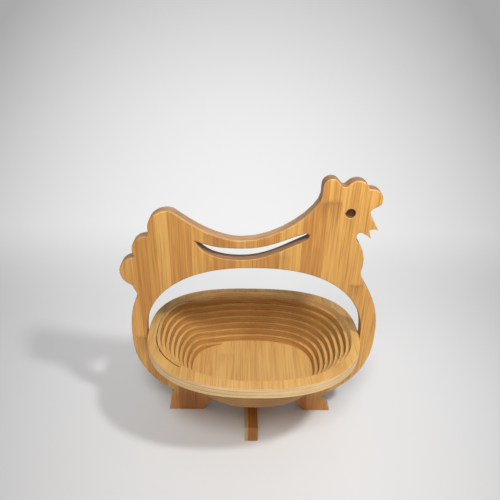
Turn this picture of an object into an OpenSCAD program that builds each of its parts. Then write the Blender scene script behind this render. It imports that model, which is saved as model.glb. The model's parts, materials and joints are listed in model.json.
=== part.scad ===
// Hen-shaped egg holder: an upright bamboo board with a hen's outline carries a folding basket.
// The basket is one oval, sawn along a continuous slanted spiral, so that its turns drop into a bowl.
// X runs to the right of the hen, Y away from the viewer, Z up. The feet stand on z = 0.

/* [Board] */
// Thickness of the board that frame and basket are sawn from
board_t = 12; // [9:0.5:16]
// Half width of the oval opening
opening_side = 115.5; // [105:0.5:130]
// How far the opening's middle lies to the right of the cross foot
body_x = 0.9; // [-2:0.1:2]
// Height of the opening above the pins
opening_up = 88.5; // [84:0.5:100]
// Depth of the opening below the pins
opening_down = 83; // [79:0.5:95]
// Squareness of the opening's upper half, 2 is an ellipse
opening_square_up = 2.33; // [2.1:0.01:2.6]
// Squareness of the opening's lower half
opening_square_down = 2.65; // [2.3:0.01:2.9]

/* [Hen] */
// Width of the board beside the opening
ring_side = 16.2; // [14:0.1:26]
// How far the hen's body rises above the opening before tail and breast leave it
ring_up = 23.5; // [18:0.5:30]
// How far the hen's body falls below the opening
ring_down = 17.4; // [15:0.1:24]
// Squareness of the body's upper half, 2 is an ellipse
body_square_up = 2.4; // [2.1:0.01:2.6]
// Squareness of the body's lower half
body_square_down = 2.3; // [2.1:0.01:2.5]
// Wood between the opening and the foot notch
arch_low = 14.1; // [10:0.1:20]
// Wood between the opening and the finger slot
arch_high = 9.5; // [7:0.5:14]
// Height of the finger slot
slot_h = 12.5; // [10:0.5:18]
// Thickness of the grip above the finger slot
grip_t = 8.8; // [7:0.1:14]
// Radius of the tail's lowest, middle and highest lobe
tail_lobes = [16.8, 15, 19]; // [8:0.5:24]
// Radius of the comb's rear, middle and front lobe
comb_lobes = [8.3, 11.4, 11]; // [6:0.1:14]
// Radius of the breast under the throat
breast_r = 39.5; // [34:0.5:44]
// Diameter of the drop-shaped eye's round end
eye_d = 8.8; // [5:0.1:12]
// Diameter of the eye's narrow end, and how far that lies to the left
eye_tip = [4, 3.2]; // [2:0.1:6]
// Depth of the eye, which doesn't go through the board
eye_depth = 4; // [2:0.5:8]
// Distance of the eye inside the hen's right side
eye_in = 45.6; // [42:0.1:52]
// Height of the eye above the opening
eye_up = 63.1; // [58:0.1:68]

/* [Feet] */
// Outer and inner reach of the left foot
left_foot = [96.9, 55.9]; // [52:0.1:105]
// Outer and inner reach of the right foot
right_foot = [95.1, 62.5]; // [58:0.1:105]
// Narrowing of the foot notch from the ground to its top, left and right
notch_slant = [6.2, 8.6]; // [2:0.1:12]
// Height of the cross foot
bar_h = 13; // [9:0.1:18]
// Width of the cross foot
bar_w = 14.5; // [11:0.5:18]
// Length of the cross foot along the ground
bar_l = 101.6; // [80:0.1:108]
// How far each end of the cross foot slants inward to its top
bar_slant = 6.8; // [2:0.1:12]
// Running gap between the cross foot and the frame
bar_gap = 0.3; // [0.2:0.05:0.6]

/* [Basket] */
// Gap between the rim and the opening
rim_gap = 1.25; // [0.8:0.05:1.8]
// Width of the rim at the sides
rim_side = 8.65; // [6.5:0.05:9]
// Width of the rim at the front
rim_front = 10.95; // [8:0.05:12]
// Width of the rim at the back
rim_back = 7.8; // [5:0.05:9]
// Turns of the strip between the rim and the floor
turns = 7; // [5:1:8]
// How far the saw moves inward each turn at the left
pitch_left = 4.4; // [4:0.1:5.4]
// How far the saw moves inward each turn at the right
pitch_right = 5; // [4:0.1:5.4]
// How far the saw moves inward each turn at the front and back
pitch_depth = 3.65; // [3.2:0.05:4]
// Squareness of the saw line's back half, 2 is an ellipse
saw_square_back = 2.5; // [2.3:0.01:2.7]
// Squareness of the saw line's front half
saw_square_front = 2.3; // [2.1:0.01:2.5]
// Width of the saw cut
kerf = 1; // [0.8:0.05:1.4]
// Play that is left in the saw cut when a turn has dropped
wedge_play = 0.32; // [0.2:0.02:0.5]
// How far each turn drops below the one outside it
drop = 6.75; // [4:0.25:8]
// Where the saw cut starts, counted from the hen's right side
saw_start = -132; // [-140:1:-120]
// Share of a turn in which the saw moves inward
jog = 0.1; // [0.08:0.01:0.2]
// Share of a turn at which each strip starts to slope down
slope_start = 0.21; // [0.1:0.01:0.24]
// Share of a turn at which each strip has reached its own level
slope_end = 0.31; // [0.28:0.01:0.36]
// Gap at each end of a turn
strip_gap = 0.15; // [0.1:0.01:0.3]

/* [Pins and screw] */
// Diameter of the pivot pins
pin_d = 3; // [2:0.1:4]
// Depth of the pins in the rim
pin_grip = 5.5; // [3:0.1:6]
// Running clearance of the pins and the screw on the radius
running = 0.06; // [0.02:0.01:0.1]
// Clearance on the radius where a pin or screw is fixed
fixed_fit = 0.01; // [0:0.005:0.02]
// Room behind the inner end of a pin
pin_end_gap = 0.3; // [0.1:0.1:1]
// How deep the outer end of a pin lies in the hen's side
pin_sunk = 0.1; // [0:0.1:2]
// Diameter of the foot screw
screw_d = 4; // [3:0.1:5]
// Diameter of the foot screw's head
screw_head_d = 8; // [6:0.1:9]
// Depth of the foot screw in the frame
screw_grip = 9; // [6:0.5:10]
// How deep the screw head sits in the cross foot
screw_recess = 0.6; // [0.3:0.1:1.5]
// Gap round the screw's head and beyond its tip
screw_gap = 0.1; // [0.05:0.05:0.3]
// Width and depth of the slot in the screw's head
driver_slot = [1, 1]; // [0.6:0.1:1.4]

/* [Hidden] */
turn_names = [for (k = [1:turns]) str("coil_turn_", k)];

frame_wood = "#d9a45c";
basket_wood = "#e3b873";
strip_wood = "#cf9850";
steel = "#b9bcc0";

// Flat steps in which round outlines are drawn
oval_steps = 120;
coil_steps = 60;
arc_step = 1.6;
bow_steps = 8;

// Heights and half sizes that follow from the driving sizes
notch_top = bar_h + bar_gap;
pin_z = notch_top + arch_low + opening_down;
opening_top = pin_z + opening_up;
side = opening_side + ring_side;
left_side = body_x - side;
right_side = body_x + side;
grip_z = opening_top + arch_high + slot_h + grip_t;
rim_a = opening_side - rim_gap;
rim_b_front = opening_up - rim_gap;
rim_b_back = opening_down - rim_gap;
saw_a = rim_a - rim_side;
saw_front = rim_b_front - rim_front;
saw_back = rim_b_back - rim_back;
basket_top = pin_z + board_t / 2;
cuts = turns + 1;
root = turns + slope_end;

// The saw leans inward on its way down by what the drop may close of the cut
lean = (kerf - wedge_play) * board_t / drop;
// Share of a turn that leaves the gap at each end of a strip
end_gap = strip_gap / (PI * (saw_a + saw_front));
// Middle of the floor plate's flat faces
plate_middle = [body_x - 12, 0];
overshoot = 1;

function signed_pow(v, p) = sign(v) * pow(abs(v), p);
function ease(x) = let (c = max(0, min(1, x))) c * c * (3 - 2 * c);

// Point of an oval whose upper and lower halves have their own height and squareness
function oval(t, a, up, down, sq_up, sq_down) =
    let (high = sin(t) >= 0)
    let (b = high ? up : down, n = high ? sq_up : sq_down)
    [a * signed_pow(cos(t), 2 / n), b * signed_pow(sin(t), 2 / n)];

function oval_loop(a, up, down, sq_up, sq_down) =
    [for (i = [0:oval_steps - 1]) oval(i * 360 / oval_steps, a, up, down, sq_up, sq_down)];

// Arc about a centre from one direction to another
function arc(centre, r, from, to) =
    let (steps = max(2, ceil(abs(to - from) * PI / 180 * r / arc_step)))
    [for (i = [0:steps])
        let (t = from + (to - from) * i / steps)
        centre + r * [cos(t), sin(t)]];

// Curve from one point to another, drawn by two handles
function bow(p, handle_p, handle_q, q) =
    [for (i = [1:bow_steps])
        let (s = i / bow_steps, r = 1 - s)
        r * r * r * p + 3 * r * r * s * handle_p + 3 * r * s * s * handle_q + s * s * s * q];

// The hen's body: the oval ring about the opening, at one direction and between two
function body_point(t) =
    [body_x, pin_z] + oval(t, side, opening_up + ring_up, opening_down + ring_down,
        body_square_up, body_square_down);
function body_arc(from, to) =
    let (steps = ceil(abs(to - from) / 4))
    [for (i = [0:steps]) body_point(from + (to - from) * i / steps)];

// Direction in the oval's own parameter at which the body reaches a height below the pins
function body_dir(z) =
    asin(pow((pin_z - z) / (opening_down + ring_down), body_square_down / 2));

// The hen's outline, clockwise from the left foot, as x and z
function hen_outline() =
    let (left_hip = 31, right_hip = 32)
    let (left_waist = 25, right_waist = 30)
    let (low_lobe = [left_side + 11.6, opening_top - 6.5])
    let (mid_lobe = low_lobe + [12.7, 25.2])
    let (top_lobe = low_lobe + [33.7, 48.7])
    let (eye = eye_at())
    let (rear_comb = eye + [-19.5, 24.6])
    let (mid_comb = eye + [4.7, 20.1])
    let (front_comb = eye + [18.5, 12.5])
    let (breast = [right_side - 64.6, opening_top + 7.1])
    let (tail_end = top_lobe + tail_lobes[2] * [cos(72), sin(72)])
    let (comb_start = rear_comb - [comb_lobes[0], 0])
    let (comb_dip = rear_comb + comb_lobes[0] * [cos(40), sin(40)])
    let (mid_start = mid_comb + comb_lobes[1] * [cos(142), sin(142)])
    let (comb_end = front_comb + comb_lobes[2] * [cos(-24), sin(-24)])
    let (brow = eye + [19.8, -1.2])
    let (beak = eye + [29.8, -18.8])
    let (mouth = eye + [20.9, -18.6])
    let (lower_beak = eye + [23.4, -27.6])
    let (throat = eye + [9.8, -27])
    let (neck = breast + breast_r * [cos(30), sin(30)])
    let (waist = breast + breast_r * [cos(-12), sin(-12)])
    let (shoulder = body_point(right_waist))
    concat(
        [[-left_foot[0], 0]],
        bow([-left_foot[0], 0], [2.2 - left_foot[0], 10], [3.4 - left_foot[0], 20],
            [4.3 - left_foot[0], 28.2]),
        body_arc(180 + body_dir(left_hip), 180 - left_waist),
        arc(low_lobe, tail_lobes[0], 250, 96),
        arc(mid_lobe, tail_lobes[1], 204, 88),
        arc(top_lobe, tail_lobes[2], 188, 72),
        bow(tail_end, tail_end + [19, -15], [-37, grip_z], [-15, grip_z]),
        bow([-15, grip_z], [22, grip_z], [comb_start[0], comb_start[1] - 23],
            comb_start - [0, 8.5]),
        arc(rear_comb, comb_lobes[0], 180, 40),
        bow(comb_dip, comb_dip + [3.5, -4], mid_start + [-3.5, -4], mid_start),
        arc(mid_comb, comb_lobes[1], 138, 18),
        arc(front_comb, comb_lobes[2], 98, -24),
        bow(comb_end, comb_end + [-4, -4], brow + [-1.2, 4.6], brow),
        bow(brow, brow + [1.4, -3.2], beak + [-2.8, 5], beak),
        bow(beak, beak + [-2.2, 1.6], mouth + [2.6, 1.6], mouth),
        bow(mouth, mouth + [1, -3], lower_beak + [-0.6, 3.4], lower_beak),
        bow(lower_beak, lower_beak + [-5.2, 5], throat + [-0.2, 10], throat),
        bow(throat, throat + [0, -3.4], neck + [-3, 5], neck),
        arc(breast, breast_r, 29, -12),
        bow(waist, waist + [-1.2, -5.5], shoulder + [-4.8, 7.6], shoulder),
        body_arc(right_waist - 1, -body_dir(right_hip)),
        [[right_foot[0] - 13.4, 21.6]],
        bow([right_foot[0] - 13.4, 21.6], [right_foot[0] - 7, 16.5],
            [right_foot[0] - 3.4, 10], [right_foot[0], 0]),
        [[right_foot[1], 0], [right_foot[1] - notch_slant[1], notch_top]],
        [[notch_slant[0] - left_foot[1], notch_top], [-left_foot[1], 0]]
    );

function eye_at() = [right_side - eye_in, opening_top + eye_up];

// The eye, a drop with its round end on the right
function eye_outline() =
    let (round_end = eye_at() + [0.9, -1.3])
    let (narrow_end = round_end - [eye_tip[1], 0.4])
    let (turn = acos((eye_d - eye_tip[0]) / 2 / eye_tip[1]))
    concat(
        arc(round_end, eye_d / 2, turn - 180, 180 - turn),
        arc(narrow_end, eye_tip[0] / 2, 180 - turn, 180 + turn)
    );

// The crescent finger slot, pointed on the left and round on the right
function slot_outline() =
    let (low = opening_top + arch_high)
    let (high = low + slot_h)
    let (left = [-59.5, high + 7.4])
    let (right_low = [48, high + 10.7])
    let (right_high = [48, high + 18.1])
    concat(
        bow(left, left + [7, -13.5], [-38, low], [-16, low]),
        bow([-16, low], [10, low], [26, low + 12], right_low),
        bow(right_low, right_low + [4.6, 2], right_high + [4.2, 0.6], right_high),
        bow(right_high, [26, high + 10], [12, high], [-14, high]),
        bow([-14, high], [-34, high], [-42, high + 0.6], left)
    );

// Stands an outline of x and z upright, through the thickness of the board
module upright(t = board_t) {
    rotate([90, 0, 0])
        linear_extrude(height = t, center = true)
            children();
}

module hen_frame() {
    color(frame_wood)
        difference() {
            upright()
                polygon(hen_outline());
            upright(board_t + 2 * overshoot)
                polygon([for (p = oval_loop(opening_side, opening_up, opening_down,
                        opening_square_up, opening_square_down))
                    p + [body_x, pin_z]]);
            upright(board_t + 2 * overshoot)
                polygon(slot_outline());
            translate([0, -board_t / 2, 0])
                upright(2 * eye_depth)
                    polygon(eye_outline());
            for (way = [-1, 1])
                translate([body_x + way * side, 0, pin_z])
                    rotate([0, 90, 0])
                        cylinder(r = pin_d / 2 + fixed_fit, h = 3 * ring_side, center = true,
                            $fn = 32);
            translate([0, 0, -overshoot])
                cylinder(r = screw_d / 2 + fixed_fit, h = notch_top + screw_grip + overshoot,
                    $fn = 32);
        }
}

// Pivot pin from the hen's side through the ring into the rim, on the left (-1) or right (1)
module pivot_pin(way) {
    inner = rim_a - pin_grip;
    length = side - pin_sunk - inner;
    color(steel)
        translate([body_x + way * (inner + length / 2), 0, pin_z])
            rotate([0, 90, 0])
                cylinder(d = pin_d, h = length, center = true, $fn = 32);
}

// Direction of the saw after a number of turns, seen from above and running clockwise
function saw_dir(turn) = saw_start - 360 * turn;

// Number of pitches that the saw has moved inward: one at the end of each turn
function inward_steps(turn) =
    let (part = turn - floor(turn))
    floor(turn) + ease((part - 1 + jog) / jog);

// Outer edge of the saw cut, moved inward at right angles to the oval
function saw_point(turn, inset) =
    let (t = saw_dir(turn), w = inward_steps(turn), c = cos(t), s = sin(t))
    let (back = s >= 0)
    let (a = saw_a - (c >= 0 ? pitch_right : pitch_left) * w)
    let (b = (back ? saw_back : saw_front) - pitch_depth * w)
    let (n = back ? saw_square_back : saw_square_front)
    let (out = [signed_pow(c, 2 - 2 / n) / a, signed_pow(s, 2 - 2 / n) / b])
    [body_x, 0] + [a * signed_pow(c, 2 / n), b * signed_pow(s, 2 / n)] - inset * out / norm(out);

// How far the strip has dropped at a point: each turn slopes down at the back left, along the
// straight line between the two places of its saw cut where the slope starts and ends
function fall(turn, p) =
    let (whole = floor(turn))
    let (start = saw_point(whole + slope_start, kerf), end = saw_point(whole + slope_end, kerf))
    let (way = end - start)
    drop * (whole + (turn - whole < 0.5 ? ease((p - start) * way / (way * way)) : 1));

// Corner of the strip at a height below the board's upper face
function strip_corner(turn, own_turn, inset, depth) =
    let (p = saw_point(turn, inset + lean * depth / board_t))
    [p[0], p[1], basket_top - depth - fall(own_turn, p)];

// Four corners of the strip's section: outer top, inner top, inner bottom, outer bottom
function strip_section(turn) = [
    strip_corner(turn, turn, kerf, 0),
    strip_corner(turn + 1, turn, 0, 0),
    strip_corner(turn + 1, turn, 0, board_t),
    strip_corner(turn, turn, kerf, board_t)
];

// Side faces between two sections of four corners that follow each other in the point list
function section_faces(first) =
    [for (j = [0:3])
        let (a = first + j, b = first + (j + 1) % 4)
        each [[a, b + 4, b], [a, a + 4, b + 4]]];

// One turn of the strip, between the cut outside it and the cut inside it
module coil_turn(k) {
    from = k - 1 + end_gap;
    to = k - end_gap;
    sections = [for (i = [0:coil_steps]) strip_section(from + (to - from) * i / coil_steps)];
    last = 4 * coil_steps;
    color(k % 2 == 1 ? strip_wood : basket_wood)
        polyhedron(
            points = [for (s = sections) each s],
            faces = concat(
                [for (i = [0:coil_steps - 1]) each section_faces(4 * i)],
                [[0, 2, 3], [0, 1, 2]],
                [[last, last + 2, last + 1], [last, last + 3, last + 2]]
            )
        );
}

// Everything inside the first cut, as a solid that is taken out of the rim
module rim_hollow() {
    from = -end_gap;
    depths = [-overshoot, board_t + overshoot];
    hub = 2 * coil_steps + 2;
    points = [for (i = [0:coil_steps], depth = depths)
        let (p = saw_point(from + i / coil_steps, lean * depth / board_t))
        [p[0], p[1], basket_top - depth]];
    hubs = [for (depth = depths) [each plate_middle, basket_top - depth]];
    polyhedron(
        points = concat(points, hubs),
        faces = [for (i = [0:coil_steps])
            let (a = 2 * i, b = i < coil_steps ? 2 * i + 2 : 0)
            each [[a, a + 1, b + 1], [a, b + 1, b], [a, b, hub], [a + 1, hub + 1, b + 1]]]
    );
}

module basket_rim() {
    color(basket_wood)
        difference() {
            translate([body_x, 0, basket_top - board_t])
                linear_extrude(height = board_t)
                    polygon(oval_loop(rim_a, rim_b_back, rim_b_front,
                        opening_square_down, opening_square_up));
            rim_hollow();
            for (way = [-1, 1])
                translate([body_x + way * rim_a, 0, pin_z])
                    rotate([0, 90, 0])
                        cylinder(r = pin_d / 2 + running, h = 2 * (pin_grip + pin_end_gap),
                            center = true, $fn = 32);
        }
}

// The floor: a plate inside the last cut, with the tongue by which the strip runs into it
module basket_base() {
    tongue_steps = ceil(slope_end * coil_steps);
    start = turns + end_gap;
    tongue_points = [for (i = [0:tongue_steps])
        each strip_section(start + (root - start) * i / tongue_steps)];
    plate_points = [for (i = [1:coil_steps], depth = [0, board_t])
        let (p = saw_point(root + i / coil_steps, kerf + lean * depth / board_t))
        [p[0], p[1], basket_top - depth - drop * cuts]];
    r = 4 * tongue_steps;
    first = r + 4;
    end = first + 2 * (coil_steps - 1);
    hub = end + 2;
    hubs = [for (depth = [0, board_t]) [each plate_middle, basket_top - depth - drop * cuts]];
    // Upper and lower point of each stretch of the plate's edge, once round
    top_edge = concat([r], [for (i = [0:coil_steps - 1]) first + 2 * i], [r + 1]);
    low_edge = concat([r + 3], [for (i = [0:coil_steps - 1]) first + 2 * i + 1], [r + 2]);
    count = len(top_edge);
    color(basket_wood)
        polyhedron(
            points = concat(tongue_points, plate_points, hubs),
            faces = concat(
                [for (i = [0:tongue_steps - 1]) each section_faces(4 * i)],
                [[0, 2, 3], [0, 1, 2]],
                [for (i = [0:count - 2])
                    each [[top_edge[i], low_edge[i], low_edge[i + 1]],
                        [top_edge[i], low_edge[i + 1], top_edge[i + 1]]]],
                [for (i = [0:count - 1])
                    each [[top_edge[i], top_edge[(i + 1) % count], hub],
                        [low_edge[i], hub + 1, low_edge[(i + 1) % count]]]]
            )
        );
}

// The bar under the frame, shown swung out crosswise
module cross_foot() {
    head_r = screw_head_d / 2;
    seat_top = screw_recess + head_r - screw_d / 2 + screw_gap;
    color(basket_wood)
        difference() {
            rotate([90, 0, 90])
                linear_extrude(height = bar_w, center = true)
                    polygon([
                        [-bar_l / 2, 0],
                        [bar_l / 2, 0],
                        [bar_l / 2 - bar_slant, bar_h],
                        [bar_slant - bar_l / 2, bar_h]
                    ]);
            translate([0, 0, -overshoot])
                cylinder(r = screw_d / 2 + running, h = bar_h + 2 * overshoot, $fn = 32);
            rotate_extrude($fn = 48)
                polygon([
                    [0, -overshoot],
                    [head_r + screw_gap, -overshoot],
                    [head_r + screw_gap, screw_recess],
                    [screw_d / 2, seat_top],
                    [0, seat_top]
                ]);
        }
}

module foot_screw() {
    head_r = screw_head_d / 2;
    head_h = head_r - screw_d / 2;
    color(steel)
        difference() {
            rotate_extrude($fn = 48)
                polygon([
                    [0, screw_recess],
                    [head_r, screw_recess],
                    [screw_d / 2, screw_recess + head_h],
                    [screw_d / 2, notch_top + screw_grip - screw_d / 2],
                    [0, notch_top + screw_grip - screw_gap]
                ]);
            translate([0, 0, screw_recess])
                cube([screw_head_d, driver_slot[0], 2 * driver_slot[1]], center = true);
        }
}

hen_frame();
pivot_pin(-1);  // left_pivot_pin
pivot_pin(1);  // right_pivot_pin
basket_rim();
for (k = [1:turns])
    coil_turn(k);
basket_base();
cross_foot();
foot_screw();
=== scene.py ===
# %% [markdown]
# # A hen-shaped egg holder with a folding basket
# The real holder is sawn out of one bamboo board. A hen's outline stands upright on two feet and a
# cross bar, and the oval that is sawn out of its belly hangs on two pins as a basket. One long
# slanted spiral cut turns that oval into a strip that drops, turn by turn, into a bowl.
# The construction model gives every solid its place. This lesson dresses it: it rounds the sawn
# edges, splits the spiral at each slope, and gives each surface its bamboo.

# %% Load the construction model
import math

import json

import bmesh
import bpy
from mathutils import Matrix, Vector

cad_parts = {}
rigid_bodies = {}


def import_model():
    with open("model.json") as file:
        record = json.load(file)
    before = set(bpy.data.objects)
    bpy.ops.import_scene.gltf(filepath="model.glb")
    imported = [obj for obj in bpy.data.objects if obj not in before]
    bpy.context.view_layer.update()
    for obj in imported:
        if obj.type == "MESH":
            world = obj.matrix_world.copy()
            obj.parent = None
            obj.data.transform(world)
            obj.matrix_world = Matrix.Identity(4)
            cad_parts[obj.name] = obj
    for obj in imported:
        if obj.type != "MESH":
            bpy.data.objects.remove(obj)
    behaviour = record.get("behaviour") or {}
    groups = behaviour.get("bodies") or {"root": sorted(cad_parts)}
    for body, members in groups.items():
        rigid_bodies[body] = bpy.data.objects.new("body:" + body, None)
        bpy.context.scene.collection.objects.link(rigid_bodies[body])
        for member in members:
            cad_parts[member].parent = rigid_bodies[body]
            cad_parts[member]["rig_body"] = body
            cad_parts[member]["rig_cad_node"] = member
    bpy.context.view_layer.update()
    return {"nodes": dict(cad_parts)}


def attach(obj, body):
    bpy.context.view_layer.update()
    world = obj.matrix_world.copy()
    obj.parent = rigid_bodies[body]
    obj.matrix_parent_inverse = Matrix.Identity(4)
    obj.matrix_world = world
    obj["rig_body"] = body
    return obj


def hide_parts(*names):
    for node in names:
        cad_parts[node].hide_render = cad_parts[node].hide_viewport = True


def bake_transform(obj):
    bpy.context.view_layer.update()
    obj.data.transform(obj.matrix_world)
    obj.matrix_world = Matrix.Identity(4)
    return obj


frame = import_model()

# %% [markdown]
# ## The camera
# A photograph of a holder like this is taken from a little above the table, so that one looks down
# into the basket. The lens is a short one, close by. A camera is placed by its target, its distance
# and two angles, and its own three axes are written into its matrix, which avoids every doubt about
# the order of rotations. The horizon leans a little, as it does when a camera is held by hand.

# %% Camera
TARGET = Vector((-0.00578, 0, 0.2167))
DISTANCE = 0.4717
LOOK_DOWN = 0.5089
LOOK_RIGHT = 0.0237
LEAN = 0.0273
FOCAL_PIXELS = 475.7
IMAGE_PIXELS = 500

ahead = Vector((math.sin(LOOK_RIGHT) * math.cos(LOOK_DOWN),
                math.cos(LOOK_RIGHT) * math.cos(LOOK_DOWN), -math.sin(LOOK_DOWN)))
level_right = Vector((math.cos(LOOK_RIGHT), -math.sin(LOOK_RIGHT), 0))
level_up = level_right.cross(ahead)
right = level_right * math.cos(LEAN) + level_up * math.sin(LEAN)
up = level_up * math.cos(LEAN) - level_right * math.sin(LEAN)

bpy.ops.object.camera_add()
camera = bpy.context.object
camera.name = "camera"
camera.data.sensor_width = 36
camera.data.lens = 36 * FOCAL_PIXELS / IMAGE_PIXELS
place = camera.matrix_world.copy()
for row in range(3):
    place[row][0], place[row][1], place[row][2] = right[row], up[row], -ahead[row]
    place[row][3] = (TARGET - DISTANCE * ahead)[row]
camera.matrix_world = place
bpy.context.scene.camera = camera
print("camera at", [round(v, 3) for v in camera.location], "lens", round(camera.data.lens, 2))

# %% [markdown]
# ## Small helpers for working by hand
# Every operator acts on what is selected, so each step first deselects everything and then picks
# what it works on. Faces are picked in code, by where they lie and which way they look, as one
# would click on them in a window.

# %% Selecting and editing
def pick(piece):
    """Make one object the only selected and the active one."""
    bpy.ops.object.select_all(action="DESELECT")
    piece.hide_set(False)
    piece.select_set(True)
    bpy.context.view_layer.objects.active = piece


def edit(piece, mode="FACE"):
    """Open an object in edit mode with nothing selected."""
    pick(piece)
    bpy.ops.object.mode_set(mode="EDIT")
    bpy.ops.mesh.select_mode(type=mode)
    bpy.ops.mesh.select_all(action="DESELECT")


def pick_faces(piece, wanted):
    """Select, in edit mode, the faces whose centre and normal pass a test, and count them."""
    cage = bmesh.from_edit_mesh(piece.data)
    cage.normal_update()
    count = 0
    for face in cage.faces:
        face.select_set(wanted(face.calc_center_median(), face.normal))
        count += face.select
    bmesh.update_edit_mesh(piece.data)
    return count


def done():
    bpy.ops.object.mode_set(mode="OBJECT")


# %% [markdown]
# ## Bamboo boards
# Bamboo board is glued from strips about two centimetres wide. Each strip has its own tone, fine
# dark fibres that run along it, and every so often a node, the ring of the cane, where the fibres
# bunch up and darken. Paint or a picture would slide on the shape, so the pattern is computed from
# the object's own coordinates: across the strips the number of the strip gives its tone, along them
# a stretched noise draws the fibres. The same recipe serves every board, turned to its own grain.

# %% Node helpers
def shader(name, roughness, coat):
    """Start a material and return it with its node tree and its surface shader."""
    material = bpy.data.materials.new(name)
    material.use_nodes = True
    tree = material.node_tree
    surface = tree.nodes["Principled BSDF"]
    surface.inputs["Roughness"].default_value = roughness
    surface.inputs["Coat Weight"].default_value = coat
    surface.inputs["Coat Roughness"].default_value = 0.3
    return material, tree, surface


def node(tree, kind, **settings):
    made = tree.nodes.new(kind)
    for key, value in settings.items():
        if key in made.bl_rna.properties:
            setattr(made, key, value)
        else:
            made.inputs[key.replace("_", " ")].default_value = value
    return made


def maths(tree, operation, a, b=0.0, clamp=False):
    """A maths node on two values, each a socket or a number."""
    made = tree.nodes.new("ShaderNodeMath")
    made.operation = operation
    made.use_clamp = clamp
    for socket, value in zip(made.inputs, (a, b)):
        if isinstance(value, (int, float)):
            socket.default_value = value
        else:
            tree.links.new(value, socket)
    return made.outputs[0]


def band(tree, value, low, high):
    """0 below low, 1 above high, smooth between: high may be the lower one."""
    made = node(tree, "ShaderNodeMapRange", interpolation_type="SMOOTHSTEP")
    tree.links.new(value, made.inputs["Value"])
    if low < high:
        made.inputs["From Min"].default_value, made.inputs["From Max"].default_value = low, high
    else:
        made.inputs["From Min"].default_value, made.inputs["From Max"].default_value = high, low
        made.inputs["To Min"].default_value, made.inputs["To Max"].default_value = 1, 0
    return made.outputs["Result"]


def blend_colour(tree, amount, first, second, mode="MIX"):
    """Mix two colours, each a socket or four numbers."""
    made = node(tree, "ShaderNodeMix", data_type="RGBA", blend_type=mode)
    for socket, value in ((made.inputs[0], amount), (made.inputs[6], first),
                          (made.inputs[7], second)):
        if isinstance(value, (int, float, tuple)):
            socket.default_value = value
        else:
            tree.links.new(value, socket)
    return made.outputs[2]


# %% [markdown]
# The two directions of a board are named here by the axes of its coordinates: `across` counts the
# strips, `along` follows the fibres and `through` is the thickness. The frame's fibres stand
# upright. The basket was sawn from the same board, so with the basket level they run from front to
# back.

# %% Coordinates, fibres and chance
def axes(tree, level="z"):
    """The object's coordinates by letter, and `level`, the height in the board as it was sawn."""
    place = node(tree, "ShaderNodeTexCoord").outputs["Object"]
    split = node(tree, "ShaderNodeSeparateXYZ")
    tree.links.new(place, split.inputs[0])
    at = dict(zip("xyz", split.outputs))
    if level == "z":
        at["level"] = at["z"]
    else:
        at["level"] = node(tree, "ShaderNodeAttribute", attribute_name=level).outputs["Fac"]
    return at


def fibres(tree, at, cycles, detail=4.0, seed=0.0):
    """Noise with its own number of cycles a metre along each of three named directions."""
    joined = node(tree, "ShaderNodeCombineXYZ")
    for socket, (letter, count) in zip(joined.inputs, cycles.items()):
        tree.links.new(maths(tree, "ADD", maths(tree, "MULTIPLY", at[letter], count), seed),
                       socket)
    made = node(tree, "ShaderNodeTexNoise", Scale=1.0, Detail=detail, Roughness=0.6)
    tree.links.new(joined.outputs[0], made.inputs["Vector"])
    return made.outputs["Fac"]


def chance(tree, value, seed):
    """A random number for each whole number."""
    joined = node(tree, "ShaderNodeCombineXYZ")
    tree.links.new(value, joined.inputs[0])
    joined.inputs[1].default_value = seed
    made = node(tree, "ShaderNodeTexWhiteNoise", noise_dimensions="2D")
    tree.links.new(joined.outputs[0], made.inputs["Vector"])
    return made.outputs["Value"]


# %% The face of a bamboo board
DARK_FIBRE = (0.33, 0.125, 0.028, 1)


def cane_mark(tree, colour, at, across, along, through, place, fine):
    """The ring of a cane on one strip: (middle, half width, height, strength), in metres."""
    middle, half, height, strength = place
    aside = maths(tree, "ABSOLUTE", maths(tree, "SUBTRACT", at[across], middle))
    near = band(tree, aside, half + 0.001, half - 0.002)
    bend = fibres(tree, at, {across: 130, along: 20, through: 130}, 1.0, height * 100)
    off = maths(tree, "ADD", maths(tree, "SUBTRACT", at[along], height),
                maths(tree, "MULTIPLY", maths(tree, "SUBTRACT", bend, 0.5), 0.006))
    grain = band(tree, fine, 0.30, 0.62)
    apart = maths(tree, "ABSOLUTE", off)
    ring = maths(tree, "ADD", maths(tree, "MULTIPLY", band(tree, apart, 0.0055, 0.0), 0.35),
                 maths(tree, "MULTIPLY", maths(tree, "MULTIPLY", band(tree, apart, 0.002, 0.0), grain),
                       0.4))
    # Below the ring the fibres fan out and stay dark for a while
    below = maths(tree, "MULTIPLY", band(tree, off, -0.026, -0.001), band(tree, off, 0.004, 0.0))
    fan = maths(tree, "MULTIPLY", below, band(tree, fine, 0.40, 0.58))
    amount = maths(tree, "MAXIMUM", ring, maths(tree, "MULTIPLY", fan, 0.85))
    amount = maths(tree, "MULTIPLY", maths(tree, "MULTIPLY", amount, near), strength)
    return blend_colour(tree, amount, colour, DARK_FIBRE)


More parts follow.
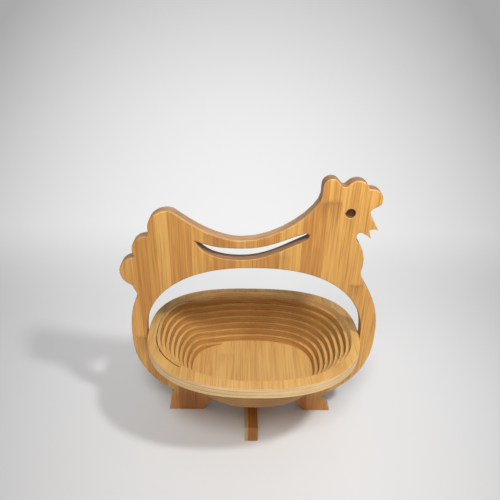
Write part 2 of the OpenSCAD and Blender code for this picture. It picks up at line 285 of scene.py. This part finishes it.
def bamboo_face(name, across, along, through, light, deep, strip=0.0215, shift=0.0, marks=(),
                seed=1.0, toasted=None, shaded_below=None):
    """Bamboo as it shows on the flat face of a board."""
    material, tree, surface = shader(name, 0.42, 0.12)
    at = axes(tree)
    sway = fibres(tree, at, {across: 6, along: 9, through: 6}, 1.0, seed + 3)
    cross = maths(tree, "ADD", at[across], maths(tree, "MULTIPLY", sway, 0.0012))
    count = maths(tree, "DIVIDE", maths(tree, "ADD", cross, shift + 1.0), strip)
    number = maths(tree, "FLOOR", count)
    part = maths(tree, "FRACT", count)
    tone = chance(tree, number, seed)
    # Fine fibres, wider streaks, and slow changes of tone along a strip
    fine = fibres(tree, at, {across: 1050, along: 20, through: 1050}, 3.0, seed)
    streak = fibres(tree, at, {across: 330, along: 9, through: 330}, 3.0, seed + 7)
    slow = fibres(tree, at, {across: 60, along: 7, through: 60}, 2.0, seed + 11)
    mixed = maths(tree, "ADD", maths(tree, "MULTIPLY", tone, 0.42),
                  maths(tree, "MULTIPLY", band(tree, fine, 0.34, 0.66), 0.22))
    mixed = maths(tree, "ADD", mixed, maths(tree, "MULTIPLY", band(tree, streak, 0.3, 0.7), 0.2))
    mixed = maths(tree, "ADD", mixed, maths(tree, "MULTIPLY", slow, 0.3))
    colour = blend_colour(tree, band(tree, mixed, 0.2, 0.9), deep, light)
    # Some bundles of fibres are much darker: thin lines a few centimetres long
    lines = fibres(tree, at, {across: 620, along: 13, through: 620}, 2.0, seed + 17)
    where = band(tree, slow, 0.62, 0.40)
    colour = blend_colour(tree, maths(tree, "MULTIPLY", maths(tree, "MULTIPLY", where, 0.42),
                                      band(tree, lines, 0.54, 0.66)), colour, DARK_FIBRE)
    if toasted:
        middle, half = toasted
        aside = maths(tree, "ABSOLUTE", maths(tree, "SUBTRACT", cross, middle))
        brown = maths(tree, "MULTIPLY", band(tree, aside, half + 0.0002, half - 0.0002), 0.9)
        colour = blend_colour(tree, brown, colour, (0.80, 0.68, 0.55, 1), "MULTIPLY")
    if shaded_below:
        # Painted shade: towards the ground the feet, which stand in the basket's shade, are painted
        # browner
        painted_foot_shade = band(tree, at[along], shaded_below, 0.018)
        colour = blend_colour(tree, painted_foot_shade, colour, (0.74, 0.58, 0.46, 1), "MULTIPLY")
    for place in marks:
        colour = cane_mark(tree, colour, at, across, along, through, place, fine)
    # The glue joint between two strips is a hair line
    edge = maths(tree, "ABSOLUTE", maths(tree, "SUBTRACT", part, 0.5))
    joint = maths(tree, "MULTIPLY", band(tree, edge, 0.487, 0.499), 0.4)
    colour = blend_colour(tree, joint, colour, (0.33, 0.14, 0.035, 1))
    tree.links.new(colour, surface.inputs["Base Color"])
    rough = node(tree, "ShaderNodeMapRange", To_Min=0.36, To_Max=0.55)
    tree.links.new(streak, rough.inputs["Value"])
    tree.links.new(rough.outputs["Result"], surface.inputs["Roughness"])
    bump = node(tree, "ShaderNodeBump", Strength=0.22, Distance=0.0003)
    tree.links.new(maths(tree, "SUBTRACT", fine, maths(tree, "MULTIPLY", joint, 0.8)),
                   bump.inputs["Height"])
    tree.links.new(bump.outputs["Normal"], surface.inputs["Normal"])
    return material


# %% [markdown]
# Where the saw cuts through the board, one sees its layers: three plies of about four millimetres,
# with a thin glue line between them, and the ends of the fibres as a fine speckle. The cut faces of
# the upright frame were seared by the blade and never sanded, so they are greyer than the face.
# The outside of the rim was sanded pale.

# %% The sawn edge of a bamboo board
def bamboo_edge(name, flat, through, light, deep, plies, seared=0.0, level="z", seed=2.0,
                highlight_below=None):
    """Bamboo as it shows on a sawn edge: `plies` are the places of the glue lines in metres.

    A last place, if given, marks where the outermost layer is painted much lighter: a painted highlight
    for a side that catches the light.
    """
    material, tree, surface = shader(name, 0.55, 0.05)
    at = axes(tree, level)
    first, second = flat
    speck = fibres(tree, at, {first: 900, second: 900, through: 1900}, 4.0, seed)
    layer = fibres(tree, at, {first: 16, second: 16, through: 950}, 4.0, seed + 5)
    slow = fibres(tree, at, {first: 45, second: 45, through: 120}, 2.0, seed + 9)
    mixed = maths(tree, "ADD", maths(tree, "MULTIPLY", band(tree, speck, 0.3, 0.7), 0.2),
                  maths(tree, "MULTIPLY", band(tree, layer, 0.3, 0.7), 0.5))
    mixed = maths(tree, "ADD", mixed, maths(tree, "MULTIPLY", slow, 0.5))
    colour = blend_colour(tree, band(tree, mixed, 0.25, 0.9), deep, light)
    # Painted highlight: the outermost layer is made lighter, as a side that catches the light
    if highlight_below is not None:
        pale = blend_colour(tree, band(tree, mixed, 0.25, 0.9), (0.40, 0.25, 0.11, 1),
                            (0.60, 0.41, 0.19, 1))
        colour = blend_colour(tree, band(tree, at[through], highlight_below + 0.0003, highlight_below - 0.0003),
                              colour, pale)
    for place in plies:
        off = maths(tree, "ABSOLUTE", maths(tree, "SUBTRACT", at[through], place))
        joint = maths(tree, "MULTIPLY", band(tree, off, 0.00035, 0.0001), 0.55)
        colour = blend_colour(tree, joint, colour, (0.27, 0.125, 0.045, 1))
    if seared:
        char = maths(tree, "MULTIPLY", band(tree, slow, 0.35, 0.62), seared)
        colour = blend_colour(tree, char, colour, (0.17, 0.095, 0.06, 1))
    tree.links.new(colour, surface.inputs["Base Color"])
    bump = node(tree, "ShaderNodeBump", Strength=0.3, Distance=0.0003)
    tree.links.new(layer, bump.inputs["Height"])
    tree.links.new(bump.outputs["Normal"], surface.inputs["Normal"])
    return material


PIN_Z = 0.1104
PLY = 0.0022
# One strip of the tail is toasted darker: the place of its middle and half its width
TOASTED_STRIP = (-0.1068, 0.0107)
# Below about this height the hen's feet are painted darker: painted shade under the basket
FEET_SHADE_TOP = 0.042
HEN_MARKS = ((0.0690, 0.0102, 0.2704, 0.85), (-0.0410, 0.0105, 0.2350, 0.6),
             (0.1035, 0.0070, 0.1790, 0.8), (-0.1180, 0.0090, 0.1085, 0.8),
             (0.0260, 0.0100, 0.2120, 0.3))
BASKET_MARKS = ((-0.0930, 0.0100, -0.0300, 0.5), (0.0790, 0.0100, -0.0480, 0.5),
                (-0.0300, 0.0100, 0.0200, 0.3), (0.0130, 0.0100, 0.0700, 0.4))
hen_face = bamboo_face("hen_bamboo_face", "x", "z", "y", (0.90, 0.492, 0.124, 1),
                       (0.58, 0.234, 0.044, 1), shift=0.0085, marks=HEN_MARKS,
                       toasted=TOASTED_STRIP, shaded_below=FEET_SHADE_TOP)
hen_edge = bamboo_edge("hen_bamboo_edge", "xz", "y", (0.62, 0.37, 0.17, 1),
                       (0.40, 0.22, 0.11, 1), (-PLY, PLY), seared=0.4)
# Painted shade on the finger slot's walls, and a darker edge on the comb top
slot_shade_and_comb_edge = bamboo_edge("slot_shade_and_comb_bamboo", "xz", "y", (0.46, 0.25, 0.10, 1),
                         (0.29, 0.145, 0.065, 1), (-PLY, PLY), seared=0.5)
# Darker tones than the hen's, though the same board: painted shade on the basket's upward faces
basket_face = bamboo_face("basket_bamboo_face", "x", "y", "z", (0.64, 0.38, 0.120, 1),
                          (0.43, 0.200, 0.046, 1), shift=0.0035, marks=BASKET_MARKS, seed=4.0)
rim_edge = bamboo_edge("rim_bamboo_edge", "xy", "level", (0.97, 0.69, 0.345, 1),
                       (0.76, 0.47, 0.205, 1), (PIN_Z - PLY, PIN_Z + PLY), level="sawn_height",
                       seed=6.0)
strip_edge = bamboo_edge("strip_bamboo_edge", "xy", "level", (0.61, 0.32, 0.092, 1),
                         (0.39, 0.17, 0.040, 1), (PIN_Z - PLY, PIN_Z + PLY),
                         level="sawn_height", seed=8.0)
# Cross bar: painted far darker as painted shade from the basket, with a painted highlight at left
foot_edge_in_painted_shade = bamboo_edge("foot_bamboo_painted_shade", "yz", "x", (0.42, 0.165, 0.030, 1),
                        (0.27, 0.095, 0.014, 1), (0.0033,), seed=10.0, highlight_below=-0.0036)
eye_wood = bamboo_edge("eye_bamboo_edge", "xz", "y", (0.22, 0.095, 0.035, 1),
                       (0.11, 0.045, 0.016, 1), (), seed=12.0)
print("bamboo materials:", [m.name for m in bpy.data.materials if "bamboo" in m.name])

# %% [markdown]
# ## Rounding a sawn board
# A sawn and sanded board never has a knife edge. Its edges are broken by half a millimetre, and it
# is this narrow strip that catches the light and makes wood look like wood. A working copy of the
# construction solid is welded together, its flat faces are made whole again, and a Bevel modifier
# breaks every edge that is sharper than thirty degrees.

# %% A working copy with broken edges
SMOOTH_ANGLE = math.radians(32)


def board_copy(source, name, radius=0, segments=2, sharp=30, merge_flats=True):
    """Copy a construction solid, weld it and, where a radius is given, break its edges."""
    piece = frame["nodes"][source].copy()
    piece.data = piece.data.copy()
    piece.name = piece.data.name = name
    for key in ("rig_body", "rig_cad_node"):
        if key in piece:
            del piece[key]
    piece.parent = None
    bpy.context.scene.collection.objects.link(piece)
    edit(piece, "VERT")
    bpy.ops.mesh.select_all(action="SELECT")
    bpy.ops.mesh.remove_doubles(threshold=0.000004)
    if merge_flats:
        bpy.ops.mesh.dissolve_limited(angle_limit=math.radians(0.4))
    else:
        bpy.ops.mesh.tris_convert_to_quads(face_threshold=math.radians(12),
                                           shape_threshold=math.radians(60))
    done()
    if radius:
        soften(piece, radius, segments, sharp)
    return piece


def soften(piece, radius, segments=2, sharp=30, by_weight=False):
    """Break the sharp edges, or those that carry a weight, each by its share of the radius."""
    pick(piece)
    bevel = piece.modifiers.new("broken edge", "BEVEL")
    bevel.width = radius
    bevel.segments = segments
    bevel.limit_method = "WEIGHT" if by_weight else "ANGLE"
    bevel.angle_limit = math.radians(sharp)
    bevel.use_clamp_overlap = not by_weight
    bevel.loop_slide = not by_weight
    bevel.harden_normals = False
    bpy.ops.object.modifier_apply(modifier=bevel.name)
    shade(piece)


def shade(piece):
    """Smooth what is round, and keep the shading of large flat faces flat."""
    pick(piece)
    bpy.ops.object.shade_smooth_by_angle(angle=SMOOTH_ANGLE)
    level = piece.modifiers.new("flat faces stay flat", "WEIGHTED_NORMAL")
    level.keep_sharp = True
    level.weight = 100
    bpy.ops.object.modifier_apply(modifier=level.name)


def two_woods(piece, face, edge, level_axis, threshold=0.8):
    """Give the board's flat faces one bamboo and all that was sawn the other."""
    piece.data.materials.clear()
    piece.data.materials.append(face)
    piece.data.materials.append(edge)
    edit(piece)
    count = pick_faces(piece, lambda centre, normal: abs(normal[level_axis]) < threshold)
    piece.active_material_index = 1
    bpy.ops.object.material_slot_assign()
    done()
    print(piece.name, "faces:", len(piece.data.polygons), "sawn:", count)


# %% [markdown]
# ## The hen
# The upright board with the hen's outline: three tail lobes, a saddle with a finger slot under it,
# comb, beak and breast, and the ring about the basket. Only its material tells the flat face from
# the sawn edge, so the faces that look neither forward nor back get the seared edge.

# %% [markdown]
# The hen's edges are rounded by more than a millimetre, which is too much for the tips of beak and
# wattle and for the rims of the pin holes: there a wide bevel would run into itself. So each edge
# gets a weight, which is full on the long curves and falls off towards every tight outer corner.

# %% How much each edge is rounded
ROUNDING = 0.0013
HALF_BOARD = 0.006
TIP_REACH, TIP_ROOM = 0.0075, 0.0003


def taper_rounding(piece):
    """Weigh the edges between flat face and sawn edge, so that tight corners get less."""
    cage = bmesh.new()
    cage.from_mesh(piece.data)
    cage.normal_update()
    weight = cage.edges.layers.float.new("bevel_weight_edge")

    def on_face(point):
        return abs(abs(point.co.y) - HALF_BOARD) < 0.00002

    corners = []
    for face in cage.faces:
        if abs(face.normal.y) < 0.999 or not all(on_face(point) for point in face.verts):
            continue
        for loop in face.loops:
            back = loop.link_loop_prev.vert.co - loop.vert.co
            onward = loop.link_loop_next.vert.co - loop.vert.co
            turn = math.pi - back.angle(onward)
            if loop.is_convex and 0.05 < turn < 3.1:
                room = min(back.length, onward.length) / (2 * math.tan(turn / 2))
                corners.append((room, loop.vert.co.copy()))
    corners = [(room, place) for room, place in corners if room < ROUNDING]
    rounded = 0
    for line in cage.edges:
        if len(line.link_faces) != 2 or line.calc_face_angle() < math.radians(30):
            continue
        middle = (line.verts[0].co + line.verts[1].co) / 2
        if all(on_face(point) for point in line.verts):
            room = min([ROUNDING] + [0.6 * r + 0.25 * ((place - middle).length
                                                       - (TIP_REACH if r < TIP_ROOM else 0))
                                     for r, place in corners])
            line[weight] = max(0, room / ROUNDING)
            rounded += 1
        elif line.calc_length() > HALF_BOARD:
            line[weight] = 0.1
    cage.to_mesh(piece.data)
    cage.free()
    print(rounded, "edges are rounded,", len(corners), "tight corners less so")


# %% [markdown]
# A flat face with holes in it can only be one face if cuts lead from its outline to each hole, and
# a wide bevel drags those cuts along. So both flat sides are taken away after the bevel and filled
# anew between their open borders, which leaves the holes open.

# %% Filling the flat sides anew
def refill_sides(piece):
    for side in (-1, 1):
        edit(piece)
        pick_faces(piece, lambda centre, normal: side * normal.y > 0.999
                   and abs(side * centre.y - HALF_BOARD) < 0.00002)
        bpy.ops.mesh.delete(type="FACE")
        bpy.ops.mesh.select_mode(type="EDGE")
        bpy.ops.mesh.select_all(action="DESELECT")
        bpy.ops.mesh.select_non_manifold(extend=False, use_wire=False, use_multi_face=False,
                                         use_non_contiguous=False, use_verts=False)
        bpy.ops.mesh.fill(use_beauty=False)
        bpy.ops.mesh.select_all(action="SELECT")
        bpy.ops.mesh.normals_make_consistent(inside=False)
        done()
    shade(piece)


# %% [markdown]
# The walls of the finger slot and the top of the comb get a darker sawn edge. In the slot, which
# lies under the saddle, this darkness is painted shade.

# %% Darker edges in the slot and on the comb
SLOT_LOW, SLOT_BOW, SLOT_MIDDLE, SLOT_HALF = 0.2146, 5.9, -0.012, 0.0095


def in_slot(place):
    middle = SLOT_LOW + SLOT_BOW * (place.x - SLOT_MIDDLE) ** 2
    return -0.062 < place.x < 0.054 and abs(place.z - middle) < SLOT_HALF


def on_comb(place):
    return place.x > 0.052 and place.z > 0.27


# %% The upright board
hen = board_copy("hen_frame", "hen_board")
taper_rounding(hen)
soften(hen, ROUNDING, 4, by_weight=True)
refill_sides(hen)
two_woods(hen, hen_face, hen_edge, 1)
hen.data.materials.append(eye_wood)
edit(hen)
EYE = Vector((0.0872, 0, 0.2606))
seen = pick_faces(hen, lambda centre, normal: abs(centre.x - EYE.x) < 0.008
                  and abs(centre.z - EYE.z) < 0.006 and -0.0056 < centre.y < 0)
hen.active_material_index = 2
bpy.ops.object.material_slot_assign()
done()
print("faces in the eye:", seen)
hen.data.materials.append(slot_shade_and_comb_edge)
edit(hen)
tight = pick_faces(hen, lambda centre, normal: abs(normal.y) < 0.8 and (in_slot(centre)
                                                                        or on_comb(centre)))
hen.active_material_index = 3
bpy.ops.object.material_slot_assign()
done()
print("faces of tight curves:", tight)
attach(hen, "frame")
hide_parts("hen_frame")

# %% [markdown]
# ## Layers that follow the drop
# The glue lines lay level in the flat board. A turn that has dropped takes its lines down with it,
# so each point keeps, as an attribute, the height that it had before.

# %% The height in the flat board
def sawn_heights(piece, dropped):
    """Keep, at each point, the height that it had in the flat board, for the glue lines."""
    kept = piece.data.attributes.new("sawn_height", "FLOAT", "POINT")
    for mark, point in zip(kept.data, piece.data.vertices):
        mark.value = point.co.z + dropped(point.co)


# %% [markdown]
# ## The saw line
# One long cut turns the oval into a strip that leads from the rim to the floor. Each turn of the
# strip lies a step lower than the one outside it, and all of them make that step at the same
# place, at the back left. The saw line is needed here too, to know where a turn begins and ends.

# %% The saw line
TURNS = 7
DROP = 0.00675
SAW_START = -132
JOG = 0.1
SLOPE_START, SLOPE_END = 0.21, 0.31
SLOPE_CUT = 19 / 60
BODY_X = 0.0009
SAW_SIDE, SAW_FRONT, SAW_BACK = 0.1056, 0.0763, 0.07395
PITCH_LEFT, PITCH_RIGHT, PITCH_DEPTH = 0.0044, 0.005, 0.00365
SQUARE_FRONT, SQUARE_BACK = 2.3, 2.5
KERF = 0.001
END_GAP = 0.00015


def ease(x):
    x = min(1, max(0, x))
    return x * x * (3 - 2 * x)


def signed_power(value, power):
    return math.copysign(abs(value) ** power, value)


def flat(point):
    return Vector((point.x, point.y, 0))


def oval(right_side, behind, inward):
    """Half width, half depth and squareness of the saw line in one quarter of its oval."""
    return (SAW_SIDE - (PITCH_RIGHT if right_side else PITCH_LEFT) * inward,
            (SAW_BACK if behind else SAW_FRONT) - PITCH_DEPTH * inward,
            SQUARE_BACK if behind else SQUARE_FRONT)


def saw_point(turn, inset):
    """Where the saw is after a number of turns, moved inward at right angles to its line."""
    whole = math.floor(turn)
    direction = math.radians(SAW_START - 360 * turn)
    c, s = math.cos(direction), math.sin(direction)
    a, b, n = oval(c >= 0, s >= 0, whole + ease((turn - whole - 1 + JOG) / JOG))
    out = Vector((signed_power(c, 2 - 2 / n) / a, signed_power(s, 2 - 2 / n) / b, 0)).normalized()
    return Vector((BODY_X + a * signed_power(c, 2 / n), b * signed_power(s, 2 / n), 0)) - inset * out


def share_of_turn(point, inward):
    """How far round from the start of the cut a point lies, as a share of one turn."""
    x, y = point.x - BODY_X, point.y
    a, b, n = oval(x >= 0, y >= 0, inward)
    direction = math.atan2(signed_power(y / b, n / 2), signed_power(x / a, n / 2))
    return (SAW_START - math.degrees(direction)) / 360 % 1


def section(turn):
    """Middle of the strip at a place on the saw line, its direction and half its width."""
    outer, inner = saw_point(turn, KERF), saw_point(turn + 1, 0)
    across = (inner - outer).normalized()
    return (outer + inner) / 2, Vector((0, 0, 1)).cross(across), (inner - outer).length / 2


def slope(k):
    """Start and end of the slope of turn k."""
    return saw_point(k - 1 + SLOPE_START, KERF), saw_point(k - 1 + SLOPE_END, KERF)


def slope_drop(k, point):
    start, end = slope(k)
    way = end - start
    return DROP * (k - 1 + ease((flat(point) - start).dot(way) / way.length_squared))


for k in (1, TURNS + 1):
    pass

# %% [markdown]
# Two pieces that are one strip on the real object must meet without a groove. Their flat ends are
# taken away before the long edges are broken, so that the broken edge runs right through, and are
# closed again afterwards. A hair of space that the construction model keeps between the ends is
# closed as well.

# %% Opening and closing the ends of a strip
def open_end(piece, turn):
    """Take away the flat face across a strip's end."""
    middle, along, half = section(turn)
    edit(piece)

    def is_end(centre, normal):
        place = flat(centre) - middle
        return (place.length < half + 0.001 and abs(place.dot(along)) < 3 * END_GAP
                and abs(normal.dot(along)) > 0.9)

    count = pick_faces(piece, is_end)
    bpy.ops.mesh.delete(type="FACE")
    done()
    if not count:
        raise SystemExit(f"{piece.name} has no end at {turn}")


def close_ends(piece):
    """Close every open end with a face."""
    edit(piece, "EDGE")
    bpy.ops.mesh.select_non_manifold(extend=False, use_wire=False, use_multi_face=False,
                                     use_non_contiguous=False, use_verts=False)
    bpy.ops.mesh.edge_face_add()
    done()
    shade(piece)


def join_end(piece, turn, way):
    """Move a strip's end along it by half the space that is left there."""
    middle, along, half = section(turn)
    edit(piece, "VERT")
    cage = bmesh.from_edit_mesh(piece.data)
    for point in cage.verts:
        place = flat(point.co) - middle
        point.select = (abs(place.dot(along)) < 3 * END_GAP
                        and abs(place.dot(Vector((0, 0, 1)).cross(along))) < half + 0.0013)
    cage.select_flush_mode()
    bmesh.update_edit_mesh(piece.data)
    bpy.ops.transform.translate(value=along * way * END_GAP / 2)
    done()


def part_off(piece, name, wanted):
    """Separate the faces that pass a test, as a piece of its own."""
    edit(piece)
    count = pick_faces(piece, wanted)
    bpy.ops.mesh.separate(type="SELECTED")
    done()
    part = next(o for o in bpy.context.selected_objects if o is not piece)
    part.name = part.data.name = name
    print(name, "takes", count, "faces")
    return part


# %% [markdown]
# ## The rim of the basket
# The outer ring of the sawn oval. It hangs on the two pins and carries everything inside it. Its
# top shows the board's face with the fibres from front to back, its outside the pale sanded edge.
# The strip grows out of it at the front left, where the saw started.

# %% The rim
rim = board_copy("basket_rim", "basket_ring")
open_end(rim, 0)
soften(rim, 0.0005)
join_end(rim, 0, -1)
close_ends(rim)
two_woods(rim, basket_face, rim_edge, 2)
sawn_heights(rim, lambda p: 0)
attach(rim, "rim")
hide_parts("basket_rim")

# %% [markdown]
# ## The spiral strip
# When the basket is pushed flat every turn rises to its neighbour's level, so on the real object
# the strip bends at each slope. Here each turn is parted just behind its slope: the sloping first
# part stays a piece of its own, and the rest is level and rides on its own body.

# %% The turns of the strip
EDGE = 0.00035


def finish_strip(piece, dropped):
    """Break a strip's edges, close its ends and give it its two woods."""
    soften(piece, EDGE, 2, 40)
    close_ends(piece)
    two_woods(piece, basket_face, strip_edge, 2)
    sawn_heights(piece, dropped)


for k in range(1, TURNS + 1):
    level = board_copy(f"coil_turn_{k}", f"turn_{k}_level", merge_flats=False)
    open_end(level, k - 1)
    open_end(level, k)
    join_end(level, k - 1, -1)
    join_end(level, k, 1)
    sloping = part_off(level, f"turn_{k}_slope",
                       lambda centre, normal: share_of_turn(centre, k - 0.5) < SLOPE_CUT)
    finish_strip(sloping, lambda p: slope_drop(k, p))
    finish_strip(level, lambda p: DROP * k)
    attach(level, f"turn_{k}")
    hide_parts(f"coil_turn_{k}")
    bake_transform(sloping)

# %% [markdown]
# ## The floor of the basket
# What is left inside the last turn of the saw is an oval plate. It stays a full board thick. The
# strip runs into it by a short tongue, the last of the slopes, which is parted from it in the same
# way.

# %% The floor plate and its tongue
plate = board_copy("basket_base", "floor_plate", merge_flats=False)
open_end(plate, TURNS)
join_end(plate, TURNS, -1)
steps = [TURNS + SLOPE_END * i / 40 for i in range(41)]
tongue_line = [section(turn)[0] for turn in steps]


def on_tongue(centre, normal):
    return (share_of_turn(centre, TURNS + 0.5) < SLOPE_END
            and min((flat(centre) - p).length for p in tongue_line) < 0.0028)


tongue = part_off(plate, "floor_tongue", on_tongue)
finish_strip(tongue, lambda p: slope_drop(TURNS + 1, p))
finish_strip(plate, lambda p: DROP * (TURNS + 1))
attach(plate, "floor")
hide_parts("basket_base")
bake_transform(tongue)

# %% [markdown]
# ## The cross foot
# A short bar, pinned under the arch by one screw. Swung crosswise it makes the flat hen stand.

# %% The bar
bar = board_copy("cross_foot", "cross_bar", 0.0006, 2)
two_woods(bar, foot_edge_in_painted_shade, foot_edge_in_painted_shade, 2)
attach(bar, "foot")
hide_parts("cross_foot")

# %% [markdown]
# ## Steel
# The pins and the screw are plain steel wire and a wood screw. Turned steel is never quite even:
# fine rings run round it and its gloss comes and goes.

# %% Steel for pins and screw
steel, tree, surface = shader("turned_steel", 0.35, 0.0)
surface.inputs["Metallic"].default_value = 1
at = axes(tree)
rings = fibres(tree, at, {"x": 2200, "y": 300, "z": 2200}, 3.0, 1.0)
tree.links.new(blend_colour(tree, rings, (0.42, 0.42, 0.43, 1), (0.66, 0.66, 0.67, 1)),
               surface.inputs["Base Color"])
gloss = node(tree, "ShaderNodeMapRange", To_Min=0.25, To_Max=0.5)
tree.links.new(rings, gloss.inputs["Value"])
tree.links.new(gloss.outputs["Result"], surface.inputs["Roughness"])
for source, name in (("left_pivot_pin", "left_pin"), ("right_pivot_pin", "right_pin"),
                     ("foot_screw", "bar_screw")):
    piece = board_copy(source, name, 0.00015, 1, 40)
    piece.data.materials.clear()
    piece.data.materials.append(steel)
    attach(piece, "frame")
    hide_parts(source)

# %% [markdown]
# ## Table, backdrop and light
# A pale sheet runs from the table up behind the holder in one sweep, so there is no horizon. It is
# a plane whose far edge is extruded upwards, and the fold is then bevelled into a wide curve.

# %% The seamless sheet
SHEET_FRONT, SHEET_BACK, SHEET_SIDE, SHEET_TOP = -2.2, 2.6, 3.4, 2.4
FOLD_RADIUS = 1.1
bpy.ops.mesh.primitive_plane_add(size=2, location=(0, 0, 0))
sheet = bpy.context.object
sheet.name = "paper_sweep"
sheet.scale = (SHEET_SIDE, (SHEET_BACK - SHEET_FRONT) / 2, 1)
sheet.location = (0, (SHEET_BACK + SHEET_FRONT) / 2, 0)
bpy.ops.object.transform_apply(location=True, rotation=True, scale=True)


def pick_far_edge():
    """Select the edge of the sheet that lies at the back on the floor."""
    cage = bmesh.from_edit_mesh(sheet.data)
    for line in cage.edges:
        line.select_set(all(abs(point.co.y - SHEET_BACK) < 0.001 and abs(point.co.z) < 0.001
                            for point in line.verts))
    bmesh.update_edit_mesh(sheet.data)


edit(sheet, "EDGE")
pick_far_edge()
bpy.ops.mesh.extrude_region_move(TRANSFORM_OT_translate={"value": (0, 0, SHEET_TOP)})
bpy.ops.mesh.select_all(action="DESELECT")
pick_far_edge()
bpy.ops.mesh.bevel(offset=FOLD_RADIUS, segments=32, affect="EDGES")
done()
bpy.ops.object.shade_smooth()
print("sheet faces:", len(sheet.data.polygons))

# %% [markdown]
# Its grey falls off away from the middle, as on any sheet that is lit from one place. The fall-off
# is painted by the sheet's own coordinates. Where it rises behind the holder, the camera sees that
# painted grey itself and not the lamps' light on it, so no lamp is turned up for the backdrop.

# %% The colour of the sheet
GREY_MIDDLE, GREY_SIDE, GREY_RISE, GREY_BACK = 0.92, 2.07, 0.37, 0.06
SHARE_FRONT, SHARE_BACK = 0.66, 1.0
paper, tree, surface = shader("pale_paper", 0.9, 0.0)
surface.inputs["Specular IOR Level"].default_value = 0.1
at = axes(tree)
depth = maths(tree, "ADD", maths(tree, "MAXIMUM", at["y"], -0.3), 1)
aside = maths(tree, "POWER", maths(tree, "DIVIDE", maths(tree, "ABSOLUTE", at["x"]), depth), 2)
grey = maths(tree, "SUBTRACT", GREY_MIDDLE, maths(tree, "MULTIPLY", aside, GREY_SIDE))
grey = maths(tree, "SUBTRACT", grey, maths(tree, "MULTIPLY", at["z"], GREY_RISE))
grey = maths(tree, "SUBTRACT", grey, maths(tree, "MULTIPLY", at["y"], GREY_BACK))
grey = maths(tree, "MINIMUM", maths(tree, "MAXIMUM", grey, 0.4), 0.9)
# The floor is also painted darker towards the front, under the near lamps: painted shade
share = maths(tree, "ADD", SHARE_FRONT,
              maths(tree, "MULTIPLY", band(tree, at["y"], -0.4, 0.3), SHARE_BACK - SHARE_FRONT))
tree.links.new(maths(tree, "MULTIPLY", grey, share), surface.inputs["Base Color"])
glow = node(tree, "ShaderNodeEmission")
tree.links.new(grey, glow.inputs["Color"])
ray = node(tree, "ShaderNodeLightPath").outputs
seen = maths(tree, "MAXIMUM", ray["Is Camera Ray"],
             maths(tree, "MAXIMUM", ray["Is Glossy Ray"], ray["Is Transmission Ray"]))
mixed = node(tree, "ShaderNodeMixShader")
away = maths(tree, "SQRT", maths(tree, "ADD", maths(tree, "POWER", maths(tree, "ABSOLUTE", at["x"]), 2),
                                maths(tree, "POWER", maths(tree, "ABSOLUTE", at["y"]), 2)))
far = maths(tree, "MAXIMUM", band(tree, at["y"], 0.16, 0.5), band(tree, away, 0.55, 1.0))
tree.links.new(maths(tree, "MULTIPLY", seen, far), mixed.inputs[0])
tree.links.new(surface.outputs[0], mixed.inputs[1])
tree.links.new(glow.outputs[0], mixed.inputs[2])
tree.links.new(mixed.outputs[0], tree.nodes["Material Output"].inputs["Surface"])
sheet.data.materials.append(paper)

# %% [markdown]
# One small lamp close by, above and to the right, draws the shadow on the table. A broad soft one
# high in front keeps the hen's face bright, and the room's own light fills the rest.

# %% Lamps and world
def lamp(name, place, target, energy, size):
    """A round soft lamp at a place, turned to a target."""
    bpy.ops.object.light_add(type="AREA", location=place)
    made = bpy.context.object
    made.name = name
    made.data.energy = energy
    made.data.shape = "DISK"
    made.data.size = size
    made.rotation_euler = (Vector(target) - Vector(place)).to_track_quat("-Z", "Y").to_euler()
    return made


lamp("key", (0.29, -0.235, 0.70), (-0.04, -0.02, 0.1), 2.5, 0.07)
lamp("front_fill", (-0.1, -0.8, 1.45), (0, 0, 0.15), 10.5, 0.5)
world = bpy.data.worlds.new("room")
bpy.context.scene.world = world
world.use_nodes = True
sky = world.node_tree.nodes["Background"]
sky.inputs["Color"].default_value = (1, 1, 1, 1)
way = node(world.node_tree, "ShaderNodeTexCoord").outputs["Generated"]
parts = node(world.node_tree, "ShaderNodeSeparateXYZ")
world.node_tree.links.new(way, parts.inputs[0])
height = band(world.node_tree, parts.outputs["Z"], 0.0, 0.75)
glow = maths(world.node_tree, "ADD", 0.13, maths(world.node_tree, "MULTIPLY", height, 0.32))
ray = node(world.node_tree, "ShaderNodeLightPath").outputs
seen = maths(world.node_tree, "MAXIMUM", ray["Is Camera Ray"],
             maths(world.node_tree, "MAXIMUM", ray["Is Glossy Ray"], ray["Is Transmission Ray"]))
pale = maths(world.node_tree, "MULTIPLY", seen, maths(world.node_tree, "SUBTRACT", 0.55, glow))
world.node_tree.links.new(maths(world.node_tree, "ADD", glow, pale), sky.inputs["Strength"])
bpy.context.scene.view_settings.view_transform = "Standard"
